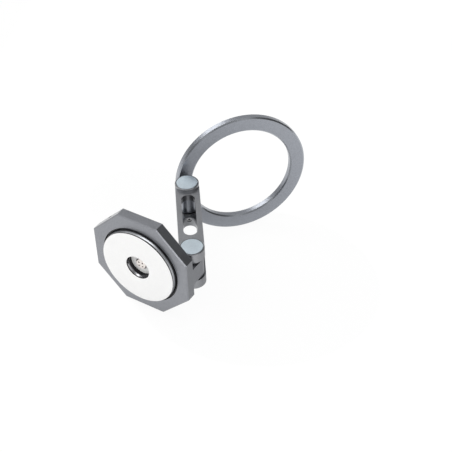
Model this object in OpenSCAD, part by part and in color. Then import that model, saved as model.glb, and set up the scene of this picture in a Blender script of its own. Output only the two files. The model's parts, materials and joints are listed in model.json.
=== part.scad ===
/* [Octagonal base] */
// Distance across the flats of the octagonal housing
base_af = 44; // [38:0.5:52]
// Thickness of the octagonal housing
base_t = 4.8; // [4.4:0.1:7]
// Bevel along the front and back edges of the housing
base_bevel = 0.45; // [0.2:0.05:0.8]
// Depth of the round pocket that the swivel plate turns in
pocket_depth = 3.2; // [2.8:0.1:3.2]
// Width of the black groove around the swivel plate
groove_w = 0.9; // [0.6:0.05:1.4]
// Diameter of the small hole in the upper left side face
side_hole_d = 1.8; // [1.2:0.1:2.0]
// How far behind the front face that small hole sits
side_hole_y = 3.5; // [3.4:0.1:3.6]

/* [Adhesive disc] */
// Diameter of the white adhesive disc
pad_d = 33; // [28:0.5:34]
// Thickness of the black foam under the white liner
foam_t = 0.5; // [0.4:0.05:1]
// Thickness of the white release liner
liner_t = 0.15; // [0.1:0.05:0.3]
// How far the metal rim of the swivel plate stands proud of the housing
plate_proud = 1.25; // [0.6:0.05:2]
// Extra radius of the metal rim outside the white disc
rim_lip = 0.2; // [0.1:0.05:0.5]
// Diameter of the recess in the middle of the disc
recess_d = 10.8; // [10:0.1:12]
// Wall of the glossy black sleeve in the recess
sleeve_wall = 0.5; // [0.4:0.05:0.8]
// How far the rounded lip of that sleeve bulges into the recess
sleeve_lip = 0.35; // [0.1:0.05:0.5]
// Diameter of the head of the pivot screw
screw_head_d = 5; // [4.4:0.1:6]
// Chamfer around the head of the pivot screw
screw_chamfer = 0.4; // [0.2:0.05:0.6]
// Diameter of each of the four drive holes in the pivot screw
drive_hole_d = 0.7; // [0.5:0.05:0.9]
// Distance between neighbouring drive holes
drive_hole_pitch = 1.7; // [1.4:0.1:2]

/* [Hinges] */
// Diameter of the two hinge pins
pin_d = 4; // [3:0.1:4.4]
// How much smaller the radius of the tongues is than that of the bosses
tongue_inset = 0.6; // [0.4:0.1:1]
// Height of the tongues along the hinge axis
tongue_h = 7.8; // [6:0.1:9]
// Thickness of the washer stack between an ear and the tongue
washer_t = 0.75; // [0.5:0.05:1]
// How far the washers' own radius stays inside the tongue's radius
washer_inset = 0.8; // [0.4:0.1:1]
// Thickness of the wide flange on the ring hinge's lower washer
flange_t = 0.4; // [0.2:0.05:0.4]
// Wall of the bush pressed into each tongue
bush_wall = 1; // [0.6:0.05:1.2]
// Width of the rim that each boss leaves around its pale cap disc
cap_rim = 0.6; // [0.6:0.05:1]
// Gap around each cap disc, seen as a dark line
cap_gap = 0.25; // [0.05:0.05:0.25]
// Thickness of the cap discs
cap_t = 0.8; // [0.6:0.05:1.2]
// How far a cap disc stands proud of its boss
cap_proud = 0.12; // [0.05:0.01:0.3]
// Gap between a turning washer face and the tongue
running_gap = 0.05; // [0.03:0.01:0.1]
// Radial clearance of pins, bushes and the swivel boss
fit_clearance = 0.03; // [0.02:0.01:0.08]

/* [Link bar] */
// Distance between the two hinge axes
link_len = 40; // [36:0.5:50]
// Width of the link bar and diameter of its bosses
link_w = 10; // [9.2:0.1:12]
// Gap between the link bar and the back of the housing
base_gap = 1.1; // [0.5:0.1:4]
// Gap between the link bar and the ring folded flat on it
ring_gap = 2.9; // [2:0.1:5]
// Height of the bar, whose underside is flush with the bosses
link_h = 16.7; // [15:0.1:17]
// Height of the bosses over the caps' seats
boss_h = 18.2; // [17.2:0.1:20]
// Bevel on the rims of the bosses
boss_bevel = 0.25; // [0.1:0.05:0.3]
// Width of the long slot through the bar
slot_w = 5.6; // [4:0.1:6.4]
// Thickness of the slot's end wall beside the ring hinge
slot_ring_wall = 1.6; // [1.4:0.1:3.1]
// Thickness of the slot's end wall beside the base hinge
slot_base_wall = 3.6; // [2.3:0.1:5.3]
// Diameter of the two grub screws that clamp the pins
grub_d = 2; // [1.6:0.1:2.4]
// How far the end of a grub screw stays below the wall beside the ring hinge
grub_recess = 0.3; // [0.1:0.1:1]

/* [Magnet ring] */
// Outer diameter of the ring
ring_od = 58; // [54:0.5:70]
// Inner diameter of the ring
ring_id = 44.8; // [41:0.1:46]
// Thickness of the ring body
ring_t = 3.2; // [3:0.1:4.5]
// Bevel along the rims of the ring
ring_bevel = 0.55; // [0.3:0.05:0.6]
// Thickness of the metal wall in front of the magnets
ring_front_wall = 0.9; // [0.8:0.05:1.2]
// Width of the metal lip on each side of the phone pad
ring_lip = 0.8; // [0.7:0.05:1.0]
// Number of magnet segments around the ring
magnet_count = 16; // [12:1:24]
// Gap between neighbouring magnet segments in degrees
magnet_gap = 2.5; // [1.5:0.1:4]
// How far the soft phone pad stands proud of the ring
phone_pad_proud = 0.4; // [0.2:0.05:0.8]
// How far the ring hinge axis lies outside the middle of the ring's rim
rim_offset = 1; // [0.3:0.1:1.3]

/* [Hinge position on the base] */
// How far the base tongue stays inside the housing's right side
hinge_inset = 0.05; // [0.05:0.05:1]

/* [Pose] */
// Angle of the link opened from flat on the back of the base
link_open = 54; // [0:1:180]
// Angle of the ring opened from flat on the link
ring_open = 104; // [0:1:160]

/* [Hidden] */

eps = 0.01;
fine = 128;
octagon = 8;

// swivel
pad_r = pad_d / 2;
plate_r = pad_r + rim_lip;
pocket_r = plate_r + groove_w;
recess_r = recess_d / 2;
sleeve_r = recess_r + sleeve_wall;
friction_t = 0.3;
plate_back = pocket_depth - friction_t;
washer_thick = 0.6;
step_y = plate_back - 0.9;
washer_face_y = step_y - washer_thick;
head_t = 1.1;
boss_r = 3.45;
screw_r = 1.2;
pad_face_y = -plate_proud - foam_t - liner_t;

// hinges
boss_rad = link_w / 2;
pin_r = pin_d / 2;
bore_r = pin_r + fit_clearance;
bush_d = pin_d + 2 * bush_wall;
cap_d = link_w - 2 * cap_rim;
tongue_r = boss_rad - tongue_inset;
ear_gap = tongue_h + 2 * (washer_t + running_gap);
ear_z = ear_gap / 2;
cap_seat = cap_t - cap_proud;
pin_len = boss_h - 2 * cap_seat;
gap_wall = tongue_r + 0.5;
slot_start = gap_wall + slot_ring_wall;
slot_end = gap_wall + slot_base_wall;
grub_z = -(ear_z + boss_h / 2) / 2 + 0.9;
grub_len = slot_start - grub_recess - pin_r;
hinge_x = base_af / 2 - hinge_inset - tongue_r;
hinge_y = base_t + base_gap + boss_rad;

// ring, in its own frame: hinge axis at the origin, +X to the ring's centre, +Y to the phone
ring_r = ring_od / 2;
ring_ri = ring_id / 2;
ring_standoff = boss_rad + ring_gap;
ring_reach = (ring_r + ring_ri) / 2 + rim_offset;
channel_ri = ring_ri + ring_lip;
channel_ro = ring_r - ring_lip;
channel_depth = ring_t - ring_front_wall;
shunt_t = 0.4;
magnet_t = channel_depth - shunt_t - 0.6;
side_play = 0.05;

// pose: directions in the plane across the hinge axes, before the holder leans
link_dir = 180 - link_open;
ring_dir = link_dir + 180 + ring_open;
h1x = hinge_x + link_len * cos(link_dir);
h1y = hinge_y + link_len * sin(link_dir);
rcx = h1x + ring_reach * cos(ring_dir) - ring_standoff * sin(ring_dir);
rcy = h1y + ring_reach * sin(ring_dir) + ring_standoff * cos(ring_dir);

// the holder stands on the lower edge of the octagon and the lowest point of the ring's rim
function ring_low(a) =
    let(k = cos(ring_dir) * sin(a), s = k > 0 ? ring_bevel : ring_t - ring_bevel)
    rcy * sin(a) + s * k - ring_r * sqrt(1 - k * k);
function base_low(a) = base_bevel * sin(a) - base_af / 2 * cos(a);
function lean_between(lo, hi, n) =
    let(mid = (lo + hi) / 2)
    n == 0 ? mid
    : ring_low(mid) > base_low(mid) ? lean_between(lo, mid, n - 1)
    : lean_between(mid, hi, n - 1);
lean = lean_between(-20, 60, 40);

// middle of the box around the holder as it stands
x_spread = ring_r * abs(cos(ring_dir));
x_lo = min(-base_af / 2, rcx - x_spread + min(-ring_bevel * sin(ring_dir),
           -(ring_t - ring_bevel) * sin(ring_dir)));
x_hi = max(base_af / 2, hinge_x + boss_rad, rcx + x_spread + max(-ring_bevel * sin(ring_dir),
           -(ring_t - ring_bevel) * sin(ring_dir)));
y_spread = ring_r * sqrt(pow(sin(ring_dir) * cos(lean), 2) + pow(sin(lean), 2));
y_depth = max(ring_bevel * cos(ring_dir), (ring_t - ring_bevel) * cos(ring_dir));
y_lo = pad_face_y * cos(lean) - pad_r * abs(sin(lean));
y_hi = (rcy + y_depth) * cos(lean) + y_spread;
ground = base_low(lean);

module stand() {
    translate([-(x_lo + x_hi) / 2, -(y_lo + y_hi) / 2, -ground])
        rotate([lean, 0, 0])
            children();
}

// turns +Z to +Y, so round parts are drawn upright
module along_y() {
    rotate([-90, 0, 0]) children();
}

module at_base_hinge() {
    stand() translate([hinge_x, hinge_y, 0]) children();
}

module at_link() {
    at_base_hinge() rotate([0, 0, link_dir]) children();
}

module at_ring_hinge() {
    at_link() translate([link_len, 0, 0]) children();
}

module at_ring() {
    at_ring_hinge() rotate([0, 0, 180 + ring_open]) children();
}

// round piece on the swivel axis, from depth y0 to depth y1 behind the front face
module band(r_out, r_in, y0, y1) {
    along_y() translate([0, 0, y0]) difference() {
        cylinder(r = r_out, h = y1 - y0, $fn = fine);
        translate([0, 0, -eps]) cylinder(r = r_in, h = y1 - y0 + 2 * eps, $fn = fine);
    }
}

// slants one long edge of each side face
module edge_bevels() {
    for (i = [0 : octagon - 1]) rotate([0, 0, 360 / octagon * i])
        translate([base_af / 2 - base_bevel, 0, 0]) rotate([0, -45, 0])
            translate([-1, -base_af / 2, -2]) cube([3, base_af, 2]);
}

module octagon_block() {
    difference() {
        rotate([0, 0, 180 / octagon])
            cylinder(r = base_af / 2 / cos(180 / octagon), h = base_t, $fn = octagon);
        edge_bevels();
        translate([0, 0, base_t]) rotate([180, 0, 0]) edge_bevels();
    }
}

// the tongue that the link's fork turns on, cut in one with the housing
module base_tongue() {
    translate([hinge_x, hinge_y, -tongue_h / 2])
        cylinder(r = tongue_r, h = tongue_h, $fn = 96);
    translate([hinge_x - tongue_r, base_t - 0.5, -tongue_h / 2])
        cube([2 * tongue_r, hinge_y - base_t + 0.5, tongue_h]);
}

module side_hole(r, from, len, sides) {
    // the axis of the upper left side face
    rotate([0, -45, 0]) translate([0, side_hole_y, from])
        cylinder(r = r, h = len, $fn = sides);
}

module octagon_housing() {
    color("slategray") stand() difference() {
        union() {
            difference() {
                along_y() octagon_block();
                along_y() translate([0, 0, -eps])
                    cylinder(r = pocket_r, h = pocket_depth + eps, $fn = fine);
            }
            along_y() translate([0, 0, step_y])
                cylinder(r = boss_r, h = base_t - step_y - base_bevel, $fn = 64);
            base_tongue();
        }
        translate([hinge_x, hinge_y, -tongue_h / 2 - eps])
            cylinder(d = bush_d, h = tongue_h + 2 * eps, $fn = 64);
        along_y() translate([0, 0, step_y - eps])
            cylinder(r = screw_r, h = 2.4, $fn = 48);
        side_hole(side_hole_d / 2, base_af / 2 - 3.6, 4, 40);
    }
}

module swivel_plate() {
    color("gray") stand() along_y() difference() {
        union() {
            translate([0, 0, -plate_proud])
                cylinder(r1 = plate_r - 0.15, r2 = plate_r, h = 0.15, $fn = fine);
            translate([0, 0, 0.15 - plate_proud])
                cylinder(r = plate_r, h = plate_proud - 0.15 + plate_back, $fn = fine);
        }
        translate([0, 0, -plate_proud - eps])
            cylinder(r = sleeve_r, h = plate_proud + step_y + eps, $fn = fine);
        translate([0, 0, step_y - eps])
            cylinder(r = boss_r + fit_clearance, h = plate_back, $fn = 64);
    }
}

module foam_pad() {
    color("black") stand() band(pad_r, recess_r, -plate_proud - foam_t, -plate_proud);
}

module release_liner() {
    color("white") stand() band(pad_r, recess_r, pad_face_y, pad_face_y + liner_t);
}

// a tube with a rounded lip at its mouth
module recess_sleeve() {
    lip_h = 1.2;
    color("black") stand() along_y() translate([0, 0, -plate_proud])
        rotate_extrude($fn = fine) polygon(concat(
            [[sleeve_r, 0]],
            [for (i = [0 : 10]) [recess_r - sleeve_lip * sin(18 * i), lip_h * (1 - cos(18 * i)) / 2]],
            [[recess_r, plate_proud + step_y], [sleeve_r, plate_proud + step_y]]
        ));
}

module groove_gasket() {
    color("black") stand() band(pocket_r, plate_r + 0.12, 0.6, pocket_depth);
}

module swivel_friction_ring() {
    color("dimgray") stand() band(plate_r - 2.2, sleeve_r + 2.1, plate_back, pocket_depth);
}

module pivot_washer() {
    color("white") stand()
        band(recess_r - 0.1, screw_r + 0.05, washer_face_y, step_y);
}

module pivot_screw() {
    color("peru") stand() along_y() difference() {
        union() {
            translate([0, 0, washer_face_y - head_t])
                cylinder(r1 = screw_head_d / 2 - screw_chamfer, r2 = screw_head_d / 2,
                    h = screw_chamfer, $fn = 64);
            translate([0, 0, washer_face_y - head_t + screw_chamfer])
                cylinder(d = screw_head_d, h = head_t - screw_chamfer, $fn = 64);
            translate([0, 0, washer_face_y - eps])
                cylinder(r = screw_r, h = washer_thick + 2.2, $fn = 48);
        }
        for (a = [0 : 90 : 270]) rotate([0, 0, a + 45])
            translate([drive_hole_pitch / sqrt(2), 0, washer_face_y - head_t - eps])
                cylinder(d = drive_hole_d, h = 0.7, $fn = 32);
    }
}

module side_lock_screw() {
    color("dimgray") stand() difference() {
        side_hole(side_hole_d / 2, base_af / 2 - 3.6, 2.9, 40);
        side_hole(side_hole_d / 4, base_af / 2 - 1.6, 1.2, 6);
    }
}

// one boss: full height, with bevelled rims
module boss() {
    translate([0, 0, -boss_h / 2])
        cylinder(r1 = boss_rad - boss_bevel, r2 = boss_rad, h = boss_bevel, $fn = 96);
    translate([0, 0, -boss_h / 2 + boss_bevel])
        cylinder(r = boss_rad, h = boss_h - 2 * boss_bevel, $fn = 96);
    translate([0, 0, boss_h / 2 - boss_bevel])
        cylinder(r1 = boss_rad, r2 = boss_rad - boss_bevel, h = boss_bevel, $fn = 96);
}

module boss_cuts() {
    translate([0, 0, -boss_h / 2 - 1])
        cylinder(r = bore_r, h = boss_h + 2, $fn = 64);
    for (s = [0, 180]) rotate([s, 0, 0])
        translate([0, 0, boss_h / 2 - cap_seat])
            cylinder(d = cap_d + 2 * cap_gap, h = cap_seat + 1, $fn = 96);
}

module long_slot() {
    x0 = slot_end + slot_w / 2;
    x1 = link_len - slot_start - slot_w / 2;
    for (x = [x0, x1]) translate([x, 0, -boss_h / 2 - 1])
        cylinder(d = slot_w, h = boss_h + 2, $fn = 64);
    translate([x0, -slot_w / 2, -boss_h / 2 - 1])
        cube([x1 - x0, slot_w, boss_h + 2]);
}

module grub_bore() {
    translate([link_len - slot_start - 2, 0, grub_z]) rotate([0, 90, 0])
        cylinder(d = grub_d, h = slot_start + 2 - pin_r + 0.5, $fn = 40);
    translate([pin_r - 0.5, 0, grub_z]) rotate([0, 90, 0])
        cylinder(d = grub_d, h = slot_end + 2 - pin_r + 0.5, $fn = 40);
}

module link_arm() {
    color("lightslategray") at_link() difference() {
        union() {
            boss();
            translate([link_len, 0, 0]) boss();
            translate([0, -link_w / 2, -boss_h / 2]) cube([link_len, link_w, link_h]);
        }
        // fork gaps for the two tongues
        translate([-link_w, -link_w, -ear_z]) cube([link_w + gap_wall, 2 * link_w, ear_gap]);
        translate([link_len - gap_wall, -link_w, -ear_z])
            cube([link_w + gap_wall, 2 * link_w, ear_gap]);
        // the ring's tongue shows in the end of the slot
        translate([link_len - slot_start - slot_w, -slot_w / 2, -ear_z])
            cube([slot_start + slot_w - gap_wall + 1, slot_w, ear_gap]);
        long_slot();
        boss_cuts();
        translate([link_len, 0, 0]) boss_cuts();
        grub_bore();
    }
}

module grub_screw() {
    difference() {
        cylinder(d = grub_d, h = grub_len, $fn = 40);
        translate([0, 0, grub_len - 1]) cylinder(d = grub_d * 0.55, h = 2, $fn = 6);
    }
}

module link_grub_screws() {
    color("silver") at_link() {
        translate([pin_r, 0, grub_z]) rotate([0, 90, 0]) grub_screw();
        translate([link_len - pin_r, 0, grub_z]) rotate([0, -90, 0]) grub_screw();
    }
}

module hinge_pin() {
    translate([0, 0, -pin_len / 2]) cylinder(d = pin_d, h = pin_len, $fn = 64);
}

module hinge_bush() {
    difference() {
        translate([0, 0, -tongue_h / 2]) cylinder(d = bush_d, h = tongue_h, $fn = 64);
        translate([0, 0, -tongue_h]) cylinder(r = bore_r, h = 2 * tongue_h, $fn = 64);
    }
}

// a plain washer above the tongue, and one below it that may be flanged
module hinge_washers(flange) {
    for (z = [-ear_z, ear_z - washer_t]) translate([0, 0, z]) difference() {
        union() {
            cylinder(r = tongue_r - washer_inset, h = washer_t, $fn = 96);
            if (flange && z < 0) cylinder(r = gap_wall - 0.1, h = flange_t, $fn = 96);
        }
        translate([0, 0, -eps]) cylinder(r = bore_r, h = washer_t + 2 * eps, $fn = 64);
    }
}

module hinge_cap(side) {
    rotate([side < 0 ? 180 : 0, 0, 0]) translate([0, 0, boss_h / 2 - cap_seat]) {
        cylinder(d = cap_d, h = cap_t - 0.1, $fn = 96);
        translate([0, 0, cap_t - 0.1])
            cylinder(d1 = cap_d, d2 = cap_d - 0.2, h = 0.1, $fn = 96);
    }
}

module base_hinge_pin() {
    color("silver") at_link() hinge_pin();
}

module base_hinge_bush() {
    color("goldenrod") at_base_hinge() hinge_bush();
}

module base_hinge_washers() {
    color("dimgray") at_link() hinge_washers(false);
}

module base_hinge_cap_top() {
    color("lightsteelblue") at_link() hinge_cap(1);
}

module base_hinge_cap_bottom() {
    color("lightsteelblue") at_link() hinge_cap(-1);
}

module ring_hinge_pin() {
    color("silver") at_ring_hinge() hinge_pin();
}

module ring_hinge_bush() {
    color("goldenrod") at_ring() hinge_bush();
}

module ring_hinge_washers() {
    color("dimgray") at_ring_hinge() hinge_washers(true);
}

module ring_hinge_cap_top() {
    color("lightsteelblue") at_ring_hinge() hinge_cap(1);
}

module ring_hinge_cap_bottom() {
    color("lightsteelblue") at_ring_hinge() hinge_cap(-1);
}

// places a piece drawn flat, near face down, in the ring's plane
module in_ring() {
    at_ring() translate([ring_reach, ring_standoff, 0]) along_y() children();
}

module ring_profile() {
    b = ring_bevel;
    polygon([
        [ring_ri + b, 0], [ring_r - b, 0], [ring_r, b], [ring_r, ring_t - b],
        [ring_r - b * 0.6, ring_t], [channel_ro, ring_t],
        [channel_ro, ring_front_wall], [channel_ri, ring_front_wall],
        [channel_ri, ring_t], [ring_ri + b * 0.6, ring_t],
        [ring_ri, ring_t - b], [ring_ri, b]
    ]);
}

// the lug that joins the ring to its tongue
module ring_lug() {
    foot = (ring_r - ring_ri) / 2 - ring_bevel - 0.3;
    translate([0, 0, -tongue_h / 2]) {
        cylinder(r = tongue_r, h = tongue_h, $fn = 96);
        linear_extrude(tongue_h) polygon([
            [-tongue_r, 0], [tongue_r, 0],
            [rim_offset + foot, ring_standoff + 0.4], [rim_offset - foot, ring_standoff + 0.4]
        ]);
    }
}

module ring_body() {
    color("slategray") {
        difference() {
            union() {
                in_ring() rotate_extrude($fn = 180) ring_profile();
                at_ring() ring_lug();
            }
            at_ring() translate([0, 0, -tongue_h])
                cylinder(d = bush_d, h = 2 * tongue_h, $fn = 64);
        }
    }
}

module channel_ring(r_out, r_in, z0, z1) {
    in_ring() translate([0, 0, z0]) difference() {
        cylinder(r = r_out, h = z1 - z0, $fn = 180);
        translate([0, 0, -eps]) cylinder(r = r_in, h = z1 - z0 + 2 * eps, $fn = 180);
    }
}

module shunt_ring() {
    color("silver") channel_ring(channel_ro - side_play, channel_ri + side_play,
        ring_front_wall, ring_front_wall + shunt_t);
}

module magnet_segments() {
    pitch = 360 / magnet_count;
    z0 = ring_front_wall + shunt_t;
    color("lightgray") in_ring() for (i = [0 : magnet_count - 1])
        rotate([0, 0, i * pitch]) rotate_extrude(angle = pitch - magnet_gap, $fn = 180)
            polygon([
                [channel_ri + 0.2, z0], [channel_ro - 0.2, z0],
                [channel_ro - 0.2, z0 + magnet_t], [channel_ri + 0.2, z0 + magnet_t]
            ]);
}

module phone_pad() {
    color("dimgray") channel_ring(channel_ro - side_play, channel_ri + side_play,
        ring_front_wall + shunt_t + magnet_t, ring_t + phone_pad_proud);
}

octagon_housing();
swivel_plate();
foam_pad();
release_liner();
recess_sleeve();
groove_gasket();
swivel_friction_ring();
pivot_washer();
pivot_screw();
side_lock_screw();
link_arm();
link_grub_screws();
base_hinge_pin();
base_hinge_bush();
base_hinge_washers();
base_hinge_cap_top();
base_hinge_cap_bottom();
ring_hinge_pin();
ring_hinge_bush();
ring_hinge_washers();
ring_hinge_cap_top();
ring_hinge_cap_bottom();
ring_body();
shunt_ring();
magnet_segments();
phone_pad();
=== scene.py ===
import json
import math

import bmesh
import bpy
from mathutils import Matrix, Vector


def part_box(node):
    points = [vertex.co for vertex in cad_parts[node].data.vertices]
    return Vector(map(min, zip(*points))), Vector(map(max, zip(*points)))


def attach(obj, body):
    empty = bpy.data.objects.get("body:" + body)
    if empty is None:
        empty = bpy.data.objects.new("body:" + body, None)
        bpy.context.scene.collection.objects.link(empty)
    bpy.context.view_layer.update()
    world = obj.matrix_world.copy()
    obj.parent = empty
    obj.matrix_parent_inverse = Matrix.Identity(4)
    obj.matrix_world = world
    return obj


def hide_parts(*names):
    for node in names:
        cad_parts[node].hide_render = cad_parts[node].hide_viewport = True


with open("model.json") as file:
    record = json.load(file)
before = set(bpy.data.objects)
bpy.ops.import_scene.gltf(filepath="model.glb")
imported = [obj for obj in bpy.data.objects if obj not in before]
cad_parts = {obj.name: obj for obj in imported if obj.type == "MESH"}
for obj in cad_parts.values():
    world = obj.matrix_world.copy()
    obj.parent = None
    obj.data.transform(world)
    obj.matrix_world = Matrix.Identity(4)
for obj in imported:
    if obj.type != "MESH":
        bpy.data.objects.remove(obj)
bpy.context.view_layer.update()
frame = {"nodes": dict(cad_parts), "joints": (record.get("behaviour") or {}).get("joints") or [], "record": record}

MM = 0.001
EDGE_ROUNDING = 0.10 * MM
# Edges of a CAD node from this angle in degrees are rounded
ROUNDED_ANGLE = 28
# Edges of a turned piece from this angle in degrees stay sharp
SHARP_ANGLE = 42
nodes = frame["nodes"]
joints = {joint["name"]: joint for joint in frame["joints"]}

# Photograph: where the camera stood, in metres and degrees
CAMERA_PLACE = Vector((0.196267, -0.314014, 0.282944))
CAMERA_AZIMUTH = 30.461
CAMERA_ELEVATION = 35.936
CAMERA_ROLL = 2.0
FOCAL_LENGTH_PX = 1075.255
PHOTO_WIDTH_PX = 452
SENSOR_MM = 36.0


# Places and directions worked out from the frame
def middle(node):
    low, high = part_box(node)
    return (low + high) / 2


disc_front = Vector(joints["swivel"]["axis"]).normalized()
hinge_up = Vector(joints["ring_hinge"]["axis"]).normalized()
phone_mount = next(m for m in frame["record"]["mounts"] if m["name"] == "phone")
phone_side = Vector(phone_mount["axis"]).normalized()
disc_middle = middle("foam_pad")
ring_middle = middle("phone_pad")


def rotation_to(axis):
    """Turns +Z to an axis, with +X kept level."""
    side = Vector((0, 0, 1)).cross(axis)
    side = side.normalized() if side.length > 1e-6 else Vector((1, 0, 0))
    up = axis.cross(side)
    return Matrix((side, up, axis)).transposed().to_4x4()


def add_camera():
    azimuth = math.radians(CAMERA_AZIMUTH)
    elevation = math.radians(CAMERA_ELEVATION)
    roll = math.radians(CAMERA_ROLL)
    backward = Vector((math.sin(azimuth) * math.cos(elevation),
                       -math.cos(azimuth) * math.cos(elevation),
                       math.sin(elevation)))
    level_right = Vector((math.cos(azimuth), math.sin(azimuth), 0))
    level_up = backward.cross(level_right)
    right = level_right * math.cos(roll) + level_up * math.sin(roll)
    up = level_up * math.cos(roll) - level_right * math.sin(roll)
    data = bpy.data.cameras.new("camera")
    data.sensor_width = SENSOR_MM
    data.lens = SENSOR_MM * FOCAL_LENGTH_PX / PHOTO_WIDTH_PX
    data.clip_start = 0.01
    camera = bpy.data.objects.new("camera", data)
    turn = Matrix((right, up, backward)).transposed().to_4x4()
    camera.matrix_world = Matrix.Translation(CAMERA_PLACE) @ turn
    bpy.context.scene.collection.objects.link(camera)
    bpy.context.scene.camera = camera


# Node helpers for the materials
class Nodes:
    def __init__(self, tree):
        self.tree = tree

    def add(self, kind, inputs=None, **settings):
        node = self.tree.nodes.new(kind)
        for name, value in settings.items():
            setattr(node, name, value)
        for name, value in (inputs or {}).items():
            socket = node.inputs[name]
            if isinstance(value, bpy.types.NodeSocket):
                self.tree.links.new(value, socket)
            else:
                socket.default_value = value
        return node

    def link(self, output, socket):
        self.tree.links.new(output, socket)

    def math(self, operation, a, b=0.0):
        node = self.add("ShaderNodeMath", operation=operation)
        for socket, value in zip(node.inputs, (a, b)):
            if isinstance(value, bpy.types.NodeSocket):
                self.link(value, socket)
            else:
                socket.default_value = value
        return node.outputs[0]

    def spread(self, value, low, high, to_low, to_high):
        node = self.add("ShaderNodeMapRange", {
            "Value": value, "From Min": low, "From Max": high,
            "To Min": to_low, "To Max": to_high})
        return node.outputs["Result"]

    def smooth_spread(self, value, low, high, to_low, to_high):
        node = self.add("ShaderNodeMapRange", {
            "Value": value, "From Min": low, "From Max": high,
            "To Min": to_low, "To Max": to_high}, interpolation_type="SMOOTHSTEP")
        return node.outputs["Result"]

    def mix(self, amount, first, second):
        node = self.add("ShaderNodeMix", data_type="RGBA")
        for socket, value in ((node.inputs["Factor"], amount),
                              (node.inputs[6], first), (node.inputs[7], second)):
            if isinstance(value, bpy.types.NodeSocket):
                self.link(value, socket)
            elif isinstance(value, tuple):
                socket.default_value = (*value, 1)
            else:
                socket.default_value = value
        return node.outputs[2]

    def noise(self, vector, scale, detail=3.0, roughness=0.5):
        node = self.add("ShaderNodeTexNoise", {
            "Vector": vector, "Scale": scale, "Detail": detail,
            "Roughness": roughness})
        return node.outputs["Fac"]

    def noise_along(self, value, per_unit):
        node = self.add("ShaderNodeTexNoise", {
            "W": self.math("MULTIPLY", value, per_unit), "Scale": 1.0, "Detail": 4.0},
            noise_dimensions="1D")
        return node.outputs["Fac"]

    def radius(self, place):
        """Distance from the Z axis."""
        flat = self.add("ShaderNodeVectorMath", {0: place, 1: (1, 1, 0)}, operation="MULTIPLY")
        length = self.add("ShaderNodeVectorMath", {0: flat.outputs[0]}, operation="LENGTH")
        return length.outputs["Value"]

    def dot(self, vector, direction):
        node = self.add("ShaderNodeVectorMath", {0: vector, 1: tuple(direction)},
                        operation="DOT_PRODUCT")
        return node.outputs["Value"]

    def rays(self):
        """Whether a ray comes from the camera, and whether it comes from a mirroring surface."""
        path = self.add("ShaderNodeLightPath").outputs
        mirrored = self.math("MAXIMUM", path["Is Glossy Ray"], path["Is Transmission Ray"])
        return path["Is Camera Ray"], mirrored


def own_coordinates(n, centre=None, axis=None):
    """Object coordinates in metres, or measured from a centre with +Z along an axis."""
    place = n.add("ShaderNodeTexCoord").outputs["Object"]
    if axis is None:
        return place
    turn = rotation_to(axis).to_euler()
    mapping = n.add("ShaderNodeMapping", {
        "Vector": place, "Location": tuple(centre), "Rotation": tuple(turn)},
        vector_type="TEXTURE")
    return mapping.outputs["Vector"]


def worn_and_highlit_edges(n, reach):
    """1 on edges sharper than the reach of a bevel, 0 on flat faces."""
    rounded = n.add("ShaderNodeBevel", {"Radius": reach}, samples=6)
    geometry = n.add("ShaderNodeNewGeometry")
    match = n.add("ShaderNodeVectorMath",
                  {0: rounded.outputs["Normal"], 1: geometry.outputs["Normal"]},
                  operation="DOT_PRODUCT")
    return n.spread(match.outputs["Value"], 0.995, 0.90, 0.0, 1.0)


def new_material(name):
    material = bpy.data.materials.new(name)
    material.use_nodes = True
    n = Nodes(material.node_tree)
    shader = material.node_tree.nodes["Principled BSDF"]
    return material, n, shader


def bumped(n, shader, layers):
    """Stacks bump layers: each is (height, strength, distance in metres)."""
    normal = None
    for height, strength, distance in layers:
        bump = n.add("ShaderNodeBump", {
            "Height": height, "Strength": strength, "Distance": distance})
        if normal is not None:
            n.link(normal, bump.inputs["Normal"])
        normal = bump.outputs["Normal"]
    n.link(normal, shader.inputs["Normal"])


def satin_metal(name, color, roughness, wear_and_highlight=0.35, grain=0.22 * MM, turned=None,
                edge_reach=0.12 * MM, depth=0.25, fleck=0.24, coat=0.0):
    """Bead-blasted, anodised metal: fine grain, cloudy finish, and lighter edges, partly wear and partly a painted
    edge highlight.
    """
    material, n, shader = new_material(name)
    place = own_coordinates(n)
    fine = n.noise(place, 1 / grain, 3.0, 0.6)
    cloud = n.noise(place, 1 / (6 * MM), 3.0)
    grit = n.noise(place, 1 / (0.8 * MM), 4.0, 0.75)
    tone = n.mix(cloud, tuple(c * 0.92 for c in color), tuple(min(1.0, c * 1.06) for c in color))
    tone = n.mix(n.spread(grit, 0.40, 0.62, 0.0, fleck), tone, tuple(c * 0.55 for c in color))
    tone = n.mix(n.spread(fine, 0.46, 0.64, 0.0, fleck), tone, tuple(c * 0.45 for c in color))
    tone = n.mix(n.spread(fine, 0.46, 0.32, 0.0, fleck * 0.6), tone,
                 tuple(min(1.0, c * 1.6) for c in color))
    # Lighter edges: partly wear, partly a painted highlight along the edges
    edges = n.math("MULTIPLY", worn_and_highlit_edges(n, edge_reach), wear_and_highlight)
    patchy = n.spread(n.noise(place, 1 / (1.5 * MM), 2.0), 0.3, 0.7, 0.45, 1.0)
    tone = n.mix(n.math("MULTIPLY", edges, patchy), tone, (0.62, 0.63, 0.65))
    n.link(tone, shader.inputs["Base Color"])
    shader.inputs["Metallic"].default_value = 1.0
    shader.inputs["Coat Weight"].default_value = coat
    shader.inputs["Coat Roughness"].default_value = 0.22
    rough = n.math("ADD", n.spread(cloud, 0.3, 0.7, roughness - 0.04, roughness + 0.05),
                   n.spread(fine, 0.3, 0.7, -0.05, 0.05))
    n.link(rough, shader.inputs["Roughness"])
    layers = [(fine, depth, 0.03 * MM), (cloud, 0.05, 0.05 * MM)]
    if turned:
        grooves = n.noise_along(n.radius(own_coordinates(n, *turned)), 1 / (0.12 * MM))
        layers.append((grooves, 0.10, 0.02 * MM))
    bumped(n, shader, layers)
    return material


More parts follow.
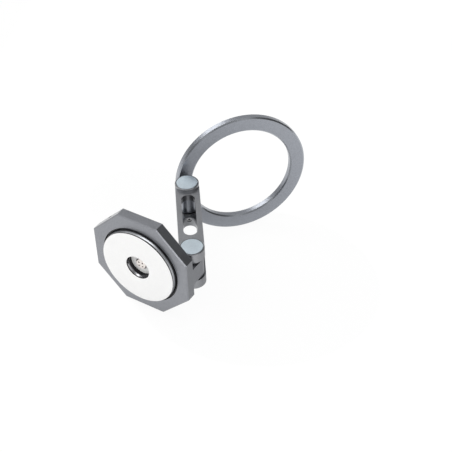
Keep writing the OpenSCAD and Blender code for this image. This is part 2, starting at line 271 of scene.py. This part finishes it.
def smooth_plastic(name, color, roughness, mottle=0.05):
    material, n, shader = new_material(name)
    place = own_coordinates(n)
    cloud = n.noise(place, 1 / (3 * MM), 3.0)
    fine = n.noise(place, 1 / (0.08 * MM), 2.0)
    dark = tuple(c * (1 - mottle) for c in color)
    light = tuple(min(1.0, c * (1 + mottle)) for c in color)
    n.link(n.mix(cloud, dark, light), shader.inputs["Base Color"])
    n.link(n.spread(cloud, 0.3, 0.7, roughness - 0.04, roughness + 0.04),
           shader.inputs["Roughness"])
    bumped(n, shader, [(fine, 0.05, 0.01 * MM)])
    return material


def soft_rubber(name, color, roughness=0.62, cell=0.10 * MM, depth=0.35):
    """Rubber or closed-cell foam: matte, with fine cells."""
    material, n, shader = new_material(name)
    place = own_coordinates(n)
    cells = n.add("ShaderNodeTexVoronoi", {"Vector": place, "Scale": 1 / cell})
    cloud = n.noise(place, 1 / (4 * MM), 3.0)
    n.link(n.mix(cloud, tuple(c * 0.8 for c in color), tuple(c * 1.3 for c in color)),
           shader.inputs["Base Color"])
    n.link(n.spread(cloud, 0.3, 0.7, roughness - 0.06, roughness + 0.06),
           shader.inputs["Roughness"])
    shader.inputs["Sheen Weight"].default_value = 0.15
    bumped(n, shader, [(cells.outputs["Distance"], depth, 0.02 * MM)])
    return material


def liner_film(name):
    """White silicone-coated paper: faint fibres under a soft shine."""
    material, n, shader = new_material(name)
    place = own_coordinates(n)
    stretched = n.add("ShaderNodeMapping", {"Vector": place, "Scale": (1, 1, 0.25)})
    fibre = n.noise(stretched.outputs["Vector"], 1 / (0.35 * MM), 5.0, 0.62)
    cloud = n.noise(place, 1 / (7 * MM), 2.0)
    tone = n.mix(cloud, (0.90, 0.90, 0.895), (0.94, 0.94, 0.935))
    tone = n.mix(n.spread(fibre, 0.35, 0.7, 0.0, 0.30), tone, (0.84, 0.84, 0.83))
    n.link(tone, shader.inputs["Base Color"])
    n.link(n.spread(fibre, 0.3, 0.7, 0.42, 0.52), shader.inputs["Roughness"])
    bumped(n, shader, [(fibre, 0.12, 0.02 * MM)])
    return material


def set_material(node, material):
    mesh = nodes[node].data
    mesh.materials.clear()
    mesh.materials.append(material)


def soften_edges(node):
    """A small rounding on a CAD node's edges, which catches the light."""
    bevel = nodes[node].modifiers.new("rounding", "BEVEL")
    bevel.width = EDGE_ROUNDING
    bevel.segments = 2
    bevel.limit_method = "ANGLE"
    bevel.angle_limit = math.radians(ROUNDED_ANGLE)


# Soft and polished pieces, turned on a lathe inside the space of their CAD solids


def measured(node, centre, axis):
    """Back, front, inner radius and outer radius of a round CAD node."""
    heights, radii = [], []
    for vertex in nodes[node].data.vertices:
        arm = vertex.co - centre
        height = arm.dot(axis)
        heights.append(height)
        radii.append((arm - axis * height).length)
    return min(heights), max(heights), min(radii), max(radii)


def quarter(centre_r, centre_h, radius, start, steps=5):
    """Points of a rounded corner, from an angle in degrees, turning by 90."""
    points = []
    for i in range(steps + 1):
        angle = math.radians(start + 90 * i / steps)
        points.append((centre_r + radius * math.cos(angle), centre_h + radius * math.sin(angle)))
    return points


def soft_band(size, front_corner, back_corner, bulge=0.0, crown=0.0):
    """Cross-section of a flat soft ring: rounded corners, bulging walls, a crowned front."""
    back, front, inner, outer = size
    wall = outer - bulge
    core = inner + bulge
    top = front - crown
    points = [(wall - back_corner, back)] + quarter(wall - back_corner, back + back_corner,
                                                    back_corner, -90)[1:]
    points.append((outer, (back + top) / 2))
    points += quarter(wall - front_corner, top - front_corner, front_corner, 0)
    for i in (1, 2, 3, 4, 5):
        share = i / 6
        r = wall - front_corner + (core - wall + 2 * front_corner) * share
        points.append((r, top + crown * math.sin(math.pi * share)))
    points += quarter(core + front_corner, top - front_corner, front_corner, 90)
    points.append((inner, (back + top) / 2))
    points += quarter(core + back_corner, back + back_corner, back_corner, 180)
    return points


def lathe(name, centre, axis, profile, steps=192):
    """A ring from a closed cross-section of (radius, height) points, turned about an axis."""
    turn = rotation_to(axis).to_3x3()
    mesh = bpy.data.meshes.new(name)
    shape = bmesh.new()
    rows = []
    for i in range(steps):
        angle = 2 * math.pi * i / steps
        rows.append([shape.verts.new(centre + turn @ Vector(
            (r * math.cos(angle), r * math.sin(angle), h))) for r, h in profile])
    count = len(profile)
    for i in range(steps):
        first, second = rows[i], rows[(i + 1) % steps]
        for k in range(count):
            face = shape.faces.new((first[k], first[(k + 1) % count],
                                    second[(k + 1) % count], second[k]))
            face.smooth = True
    bmesh.ops.recalc_face_normals(shape, faces=shape.faces)
    for edge in shape.edges:
        edge.smooth = edge.calc_face_angle() < math.radians(SHARP_ANGLE)
    shape.to_mesh(mesh)
    shape.free()
    piece = bpy.data.objects.new(name, mesh)
    bpy.context.scene.collection.objects.link(piece)
    return piece


def stand_in(node, body, name, centre, axis, profile, material):
    """A turned piece that is shown in place of a CAD node."""
    piece = lathe(name, centre, axis, profile)
    piece.data.materials.append(material)
    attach(piece, body)
    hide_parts(node)


def replace_soft(node, body, name, centre, axis, material, **shape):
    profile = soft_band(measured(node, centre, axis), **shape)
    stand_in(node, body, name, centre, axis, profile, material)


def sleeve_profile(lip=0.35 * MM, lip_height=1.2 * MM, chamfer=0.75 * MM):
    """The recess sleeve: a polished chamfer behind its mouth, rounded over to the bore."""
    back, front, crest, outer = measured("recess_sleeve", disc_middle, disc_front)
    bore = crest + lip
    points = [(outer, back), (outer, front), (bore, front)]
    points += [(bore - lip * share, front - chamfer * share)
               for share in (0.04, 0.25, 0.5, 0.75, 0.94)]
    steps = 8
    for i in range(1, steps + 1):
        fade = math.cos(math.pi / 2 * i / steps) ** 2
        height = front - chamfer - (lip_height - chamfer) * i / steps
        points.append((bore - lip * fade, height))
    points.append((bore, back))
    return points


def rim_profile(chamfer_width=0.28 * MM, chamfer_height=0.75 * MM, edge=0.10 * MM,
                front_edge=0.04 * MM, step_gap=0.01 * MM):
    """The swivel plate: a steep bright chamfer round its front, and its stepped bore."""
    back, front, bore, outer = measured("swivel_plate", disc_middle, disc_front)
    floor, _, _, seat = measured("recess_sleeve", disc_middle, disc_front)
    step = floor - step_gap
    points = [(bore, back), (outer - edge, back), (outer, back + edge),
              (outer, front - chamfer_height - edge / 2)]
    points += [(outer - chamfer_width * share, front - chamfer_height * (1 - share))
               for share in (0.03, 0.35, 0.70, 0.95)]
    points += [(outer - chamfer_width - front_edge, front), (seat, front), (seat, step),
               (bore, step)]
    return points


def repaint(n, material, amount, color, rough):
    """Changes a material's colour and roughness where the amount is 1."""
    shader = material.node_tree.nodes["Principled BSDF"]
    for name, value in (("Base Color", color), ("Roughness", (rough,) * 3)):
        socket = shader.inputs[name]
        before = socket.links[0].from_socket
        n.link(n.mix(amount, before, value), socket)


def paint_shade_by_depth(material, centre, axis, level, soften, reach, color, rough, depth=1.0):
    """Painted shade in a hollow: another colour and roughness below a level along an axis, down to a depth and
    within a reach of it.
    """
    n = Nodes(material.node_tree)
    place = own_coordinates(n, centre, axis)
    height = n.add("ShaderNodeSeparateXYZ", {"Vector": place}).outputs["Z"]
    below = n.smooth_spread(height, level - soften, level, 1.0, 0.0)
    above = n.smooth_spread(height, level - depth - soften, level - depth, 0.0, 1.0)
    near = n.smooth_spread(n.radius(place), reach, reach + 0.02 * MM, 1.0, 0.0)
    inside = n.math("MULTIPLY", n.math("MULTIPLY", below, above), near)
    repaint(n, material, inside, color, rough)


def polish_bevels(material, axis, color, rough):
    """The turned bevels are brighter and smoother than the blasted faces beside them."""
    n = Nodes(material.node_tree)
    normal = n.add("ShaderNodeTexCoord").outputs["Normal"]
    along = n.math("ABSOLUTE", n.dot(normal, axis))
    sloping = n.math("MULTIPLY", n.smooth_spread(along, 0.12, 0.30, 0.0, 1.0),
                     n.smooth_spread(along, 0.90, 0.985, 1.0, 0.0))
    repaint(n, material, sloping, color, rough)


# Stage
FLOOR_HALF = 4.0
FLOOR_TONE = 0.9
# Shares of plain white in the floor: as the camera sees it, and as metal mirrors it
FLOOR_SEEN = 0.93
FLOOR_MIRRORED = 0.75
FLOOR_MIRROR_WHITE = 1.04
# Painted shadows on the floor, seen only where metal mirrors it: (middle, full within, gone at, brightness)
FLOOR_PAINTED_SHADOWS = (
    ((0.030, -0.004, 0), 0.015, 0.058, 0.45),
    ((0.62, -0.73, 0), 0.30, 0.55, 0.30),
    ((-0.25, -1.60, 0), 1.10, 1.45, 0.35),
    ((-0.60, -0.08, 0), 0.32, 0.46, 0.40),
    ((-0.044, 0.020, 0), 0.008, 0.030, 0.55),
)


def add_floor():
    far = FLOOR_HALF
    mesh = bpy.data.meshes.new("floor")
    mesh.from_pydata([(-far, -far, 0), (far, -far, 0), (far, far, 0), (-far, far, 0)],
                     [], [(0, 1, 2, 3)])
    floor = bpy.data.objects.new("floor", mesh)
    bpy.context.scene.collection.objects.link(floor)
    material = bpy.data.materials.new("floor_white")
    material.use_nodes = True
    tree = material.node_tree
    tree.nodes.clear()
    n = Nodes(tree)
    camera_ray, mirrored = n.rays()
    place = n.add("ShaderNodeTexCoord").outputs["Object"]
    shaded = FLOOR_MIRROR_WHITE
    # Painted shadows: the floor is darker round each middle, as metal mirrors it
    for middle_of_shade, full, gone, brightness in FLOOR_PAINTED_SHADOWS:
        away = n.add("ShaderNodeVectorMath", {0: place, 1: middle_of_shade},
                     operation="DISTANCE").outputs["Value"]
        part = n.smooth_spread(away, full, gone, brightness, 1.0)
        shaded = n.math("MULTIPLY", shaded, part)
    white = n.add("ShaderNodeEmission", {"Color": (1, 1, 1, 1),
                                         "Strength": n.math("MAXIMUM", camera_ray, shaded)})
    paper = n.add("ShaderNodeBsdfDiffuse", {"Color": (FLOOR_TONE, FLOOR_TONE, FLOOR_TONE, 1)})
    share = n.math("MAXIMUM", n.math("MULTIPLY", camera_ray, FLOOR_SEEN),
                   n.math("MULTIPLY", mirrored, FLOOR_MIRRORED))
    mixed = n.add("ShaderNodeMixShader", {0: share, 1: paper.outputs[0], 2: white.outputs[0]})
    out = n.add("ShaderNodeOutputMaterial")
    n.link(mixed.outputs[0], out.inputs["Surface"])
    mesh.materials.append(material)


# How bright the world is for matte surfaces
WORLD_LIGHT = 0.80
# What metal sees of the studio: (direction, full within degrees, gone at degrees, brightness)
STUDIO_SHADES = (
    ((-0.41, 0.60, 0.69), 10, 75, 0.54),
    ((0.46, -0.60, 0.65), 12, 34, 0.40),
    ((0.72, 0.58, 0.38), 22, 58, 0.14),
    ((0.66, -0.75, 0.02), 10, 26, 0.30),
    ((-0.16, -0.98, 0.06), 16, 34, 0.30),
    ((-0.98, -0.10, 0.05), 14, 34, 0.40),
)


def add_world():
    world = bpy.data.worlds.new("studio")
    bpy.context.scene.world = world
    world.use_nodes = True
    tree = world.node_tree
    tree.nodes.clear()
    n = Nodes(tree)
    camera_ray, mirrored = n.rays()
    direction = n.add("ShaderNodeTexCoord").outputs["Generated"]
    shade = 1.0
    for toward, full, gone, brightness in STUDIO_SHADES:
        along = n.dot(direction, Vector(toward).normalized())
        part = n.smooth_spread(along, math.cos(math.radians(gone)),
                               math.cos(math.radians(full)), 1.0, brightness)
        shade = n.math("MULTIPLY", shade, part)
    soft, seen, white = (
        n.add("ShaderNodeBackground", {"Color": (1, 1, 1, 1), "Strength": strength}).outputs[0]
        for strength in (WORLD_LIGHT, shade, 1.0))
    lit = n.add("ShaderNodeMixShader", {0: mirrored, 1: soft, 2: seen})
    mixed = n.add("ShaderNodeMixShader", {0: camera_ray, 1: lit.outputs[0], 2: white})
    out = n.add("ShaderNodeOutputWorld")
    n.link(mixed.outputs[0], out.inputs["Surface"])


def add_lamp(name, place, target, size, watts, depth=None):
    """A soft box: a disc, or a strip where a depth is given."""
    data = bpy.data.lights.new(name, "AREA")
    data.shape = "RECTANGLE" if depth else "DISK"
    data.size = size
    if depth:
        data.size_y = depth
    data.energy = watts
    lamp = bpy.data.objects.new(name, data)
    direction = (Vector(target) - Vector(place)).normalized()
    lamp.matrix_world = Matrix.Translation(place) @ rotation_to(-direction)
    lamp.visible_camera = False
    bpy.context.scene.collection.objects.link(lamp)


add_camera()
add_floor()
add_world()
add_lamp("key", (0.684, -0.936, 0.312), (0, 0, 0.03), 0.40, 1.0)
add_lamp("fill", (-0.24, -0.28, 0.03), (0, 0, 0.02), 0.20, 0.14)
add_lamp("strip", (0.05, -0.30, 1.18), (0, 0, 0.03), 1.1, 3.0, depth=0.30)
add_lamp("window", (-0.90, 0.264, 0.744), (0, 0, 0.03), 0.6, 2.2)

# Looks of the pieces
DISC = (disc_middle, disc_front)
ANODISED = {"roughness": 0.36, "coat": 0.6}
POLISHED = {"wear_and_highlight": 0.1, "fleck": 0.1, "depth": 0.1}


def dress_anodised_pieces():
    housing = satin_metal("anodised_octagon_housing", (0.296, 0.306, 0.332), **ANODISED)
    set_material("octagon_housing", housing)
    set_material("link_arm", satin_metal("anodised_link_arm", (0.352, 0.360, 0.380), **ANODISED))
    ring = satin_metal("anodised_ring", (0.362, 0.382, 0.424), **ANODISED)
    set_material("ring_body", ring)
    polish_bevels(ring, phone_side, color=(0.36, 0.38, 0.415), rough=0.20)
    paint_shade_in_side_hole(housing)
    for name in ("octagon_housing", "link_arm", "ring_body"):
        soften_edges(name)


def paint_shade_in_side_hole(housing, hole_radius=0.93 * MM, hole_depth=3.0 * MM):
    # Painted shade: the bore of the side hole is painted nearly black, from just below the facet down to its depth
    screw = middle("side_lock_screw")
    outward = screw - disc_middle
    outward = (outward - disc_front * outward.dot(disc_front)).normalized()
    facet = measured("octagon_housing", screw, outward)[1]
    paint_shade_by_depth(housing, screw, outward, level=facet - 0.03 * MM, soften=0.05 * MM,
                   reach=hole_radius, color=(0.02, 0.02, 0.022), rough=0.6, depth=hole_depth)


def dress_hinges():
    for hinge in ("base_hinge", "ring_hinge"):
        for end in ("top", "bottom"):
            name = hinge + "_cap_" + end
            set_material(name, satin_metal(name + "_satin", (0.72, 0.82, 0.89), 0.42, wear_and_highlight=0.2,
                                           fleck=0.12, turned=(middle(name), hinge_up)))
    steel = satin_metal("ground_steel", (0.55, 0.55, 0.56), 0.28, **POLISHED)
    for name in ("base_hinge_pin", "ring_hinge_pin", "link_grub_screws", "shunt_ring"):
        set_material(name, steel)
    spring_steel = satin_metal("spring_steel", (0.42, 0.42, 0.43), 0.24, **POLISHED)
    for name in ("base_hinge_washers", "ring_hinge_washers"):
        set_material(name, spring_steel)
    brass = satin_metal("bush_brass", (0.66, 0.50, 0.24), 0.30, wear_and_highlight=0.1, fleck=0.1)
    for name in ("base_hinge_bush", "ring_hinge_bush"):
        set_material(name, brass)


def dress_small_pieces():
    set_material("side_lock_screw", satin_metal("blackened_steel", (0.05, 0.05, 0.055), 0.35,
                                                wear_and_highlight=0.3, fleck=0.1))
    set_material("magnet_segments", satin_metal("nickel_plate", (0.66, 0.65, 0.62), 0.18,
                                                wear_and_highlight=0.1, fleck=0.05, depth=0.05))
    set_material("pivot_washer", smooth_plastic("white_nylon", (0.93, 0.93, 0.92), 0.40))
    set_material("swivel_friction_ring", smooth_plastic("dark_plastic", (0.06, 0.06, 0.06), 0.5))
    copper = satin_metal("pale_copper", (0.92, 0.86, 0.82), 0.30, turned=DISC, **POLISHED)
    # The holes below the screw head's front are painted dark copper-brown: their copper tone, deepened with
    # painted shade
    head_front = measured("pivot_screw", *DISC)[1]
    paint_shade_by_depth(copper, *DISC, level=head_front - 0.04 * MM, soften=0.25 * MM,
                   reach=1.62 * MM, color=(0.20, 0.085, 0.045), rough=0.45)
    set_material("pivot_screw", copper)


def turn_metal_pieces():
    black_nickel = satin_metal("black_nickel", (0.38, 0.38, 0.40), 0.15, wear_and_highlight=0.0, fleck=0.05,
                               depth=0.03)
    # Painted shade: the sleeve's bore, deeper than 0.8 mm behind its front, is painted nearly black
    sleeve_front = measured("recess_sleeve", *DISC)[1]
    paint_shade_by_depth(black_nickel, *DISC, level=sleeve_front - 0.80 * MM, soften=0.25 * MM,
                   reach=1.0, color=(0.035, 0.035, 0.038), rough=0.30)
    stand_in("recess_sleeve", "disc", "recess_sleeve_polished", *DISC, sleeve_profile(),
             black_nickel)
    bright_rim = satin_metal("turned_rim", (0.44, 0.45, 0.47), 0.30, wear_and_highlight=0.1, fleck=0.08,
                             depth=0.08, turned=DISC)
    stand_in("swivel_plate", "disc", "swivel_plate_turned", *DISC, rim_profile(), bright_rim)


def turn_soft_pieces():
    replace_soft("foam_pad", "disc", "foam_pad_soft", *DISC,
                 soft_rubber("black_foam", (0.012, 0.012, 0.013), 0.75),
                 front_corner=0.06 * MM, back_corner=0.06 * MM, bulge=0.06 * MM)
    replace_soft("release_liner", "disc", "release_liner_film", *DISC, liner_film("white_liner"),
                 front_corner=0.05 * MM, back_corner=0.02 * MM, bulge=0.01 * MM)
    replace_soft("groove_gasket", "base", "groove_gasket_lip", *DISC,
                 soft_rubber("black_rubber", (0.010, 0.010, 0.012), 0.40, cell=0.06 * MM,
                             depth=0.15),
                 front_corner=0.34 * MM, back_corner=0.10 * MM, bulge=0.02 * MM)
    replace_soft("phone_pad", "ring", "phone_pad_soft", ring_middle, phone_side,
                 soft_rubber("grey_silicone", (0.045, 0.046, 0.050), 0.55),
                 front_corner=0.20 * MM, back_corner=0.10 * MM, bulge=0.03 * MM,
                 crown=0.08 * MM)


dress_anodised_pieces()
dress_hinges()
dress_small_pieces()
turn_metal_pieces()
turn_soft_pieces()

bpy.context.scene.view_settings.view_transform = "Standard"
